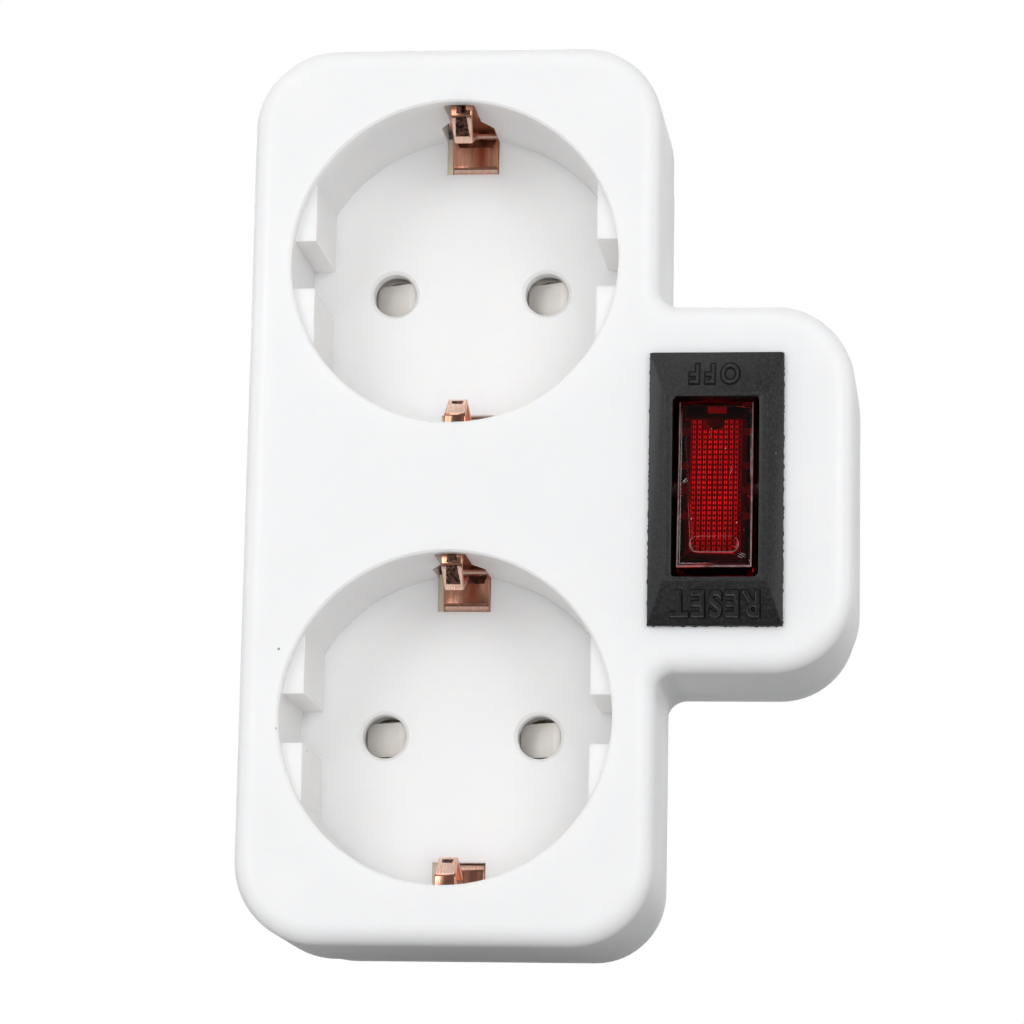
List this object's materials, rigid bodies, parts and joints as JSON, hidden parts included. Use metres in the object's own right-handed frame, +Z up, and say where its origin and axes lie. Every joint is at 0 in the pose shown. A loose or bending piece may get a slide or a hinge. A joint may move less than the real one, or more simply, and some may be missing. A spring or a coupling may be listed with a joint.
{
  "type": "switched plug adapter",
  "caption": "Switched mains plug adapter: slab body with recessed earthed sockets one above the other, a plug on its back and a lit rocker switch in a side box.",
  "frame": {"origin": "midway between the two plug pins, on the face of the plug that they stand out of", "axes": "+Y along the plug pins into the wall, +Z up the body from the lower socket to the upper one, +X towards the switch box"},
  "size_m": [0.0733, 0.0788, 0.1094],
  "materials": {
    "blade_silver": "tinned",
    "brass_strip": "plain strip",
    "copper_spring": "copper coloured spring strip",
    "diffuser_pale": "milky",
    "housing_white": "satin",
    "lamp_glass": "clear",
    "lens_red": "clear red",
    "nickel_pin": "bright nickel",
    "plunger_white": "plain",
    "resistor_tan": "lacquer",
    "shutter_cream": "plain",
    "steel": "plain",
    "switch_black": "fine grain",
    "wire_blue": "insulation",
    "wire_brown": "insulation"
  },
  "bodies": {
    "housing": {"earth_clip_lower_bottom": "copper_spring", "earth_clip_lower_top": "copper_spring", "earth_clip_upper_bottom": "copper_spring", "earth_clip_upper_top": "copper_spring", "earth_rail": "brass_strip", "front_housing": "housing_white", "glow_lamp": "lamp_glass", "housing_screws": "steel", "lamp_resistor": "resistor_tan", "line_bar": "brass_strip", "line_grip_lower": "brass_strip", "line_grip_upper": "brass_strip", "line_link": "brass_strip", "neutral_bar": "brass_strip", "neutral_grip_lower": "brass_strip", "neutral_grip_upper": "brass_strip", "neutral_link": "brass_strip", "plug_earth_strap": "brass_strip", "plug_pin_line": "nickel_pin", "plug_pin_neutral": "nickel_pin", "rear_cover": "housing_white", "shutter_retainer_lower": "shutter_cream", "shutter_retainer_upper": "shutter_cream", "shutter_spring_lower": "steel", "shutter_spring_upper": "steel", "switch_base": "switch_black", "switch_blade_lamp": "blade_silver", "switch_blade_line_in": "blade_silver", "switch_blade_line_out": "blade_silver", "switch_body": "switch_black", "wire_lamp": "wire_blue", "wire_line_in": "wire_brown", "wire_line_out": "wire_brown"},
    "rocker": {"rocker_lens": "lens_red", "rocker_diffuser": "diffuser_pale", "rocker_carrier": "switch_black", "plunger_spring": "steel"},
    "plunger": {"rocker_plunger": "plunger_white"},
    "contact": {"tilting_contact": "copper_spring"},
    "shutter_up": {"shutter_upper": "shutter_cream"},
    "shutter_low": {"shutter_lower": "shutter_cream"}
  },
  "joints": [
    {"name": "rocker_hinge", "type": "hinge", "parent": "housing", "child": "rocker", "pos_m": [0.03183, -0.0558, -0.00045], "axis": [1, 0, 0], "range_deg": [0, 14]},
    {"name": "contact_tilt", "type": "hinge", "parent": "housing", "child": "contact", "pos_m": [0.03183, -0.0426, -0.00045], "axis": [1, 0, 0], "range_deg": [-16.5, 0]},
    {"name": "plunger_slide", "type": "slide", "parent": "rocker", "child": "plunger", "axis": [0, -0.9925, 0.1219], "range_m": [0, 0.0006], "stiffness_N_per_m": 400, "springref_m": -0.001, "deforming": ["plunger_spring"]},
    {"name": "shutter_upper_slide", "type": "slide", "parent": "housing", "child": "shutter_up", "axis": [1, 0, 0], "range_m": [0, 0.0052], "stiffness_N_per_m": 60, "springref_m": -0.003, "deforming": ["shutter_spring_upper"]},
    {"name": "shutter_lower_slide", "type": "slide", "parent": "housing", "child": "shutter_low", "axis": [1, 0, 0], "range_m": [0, 0.0052], "stiffness_N_per_m": 60, "springref_m": -0.003, "deforming": ["shutter_spring_lower"]}
  ],
  "couplings": [
    {"joint": "contact_tilt", "follows": "rocker_hinge", "ratio": -1.1785}
  ]
}
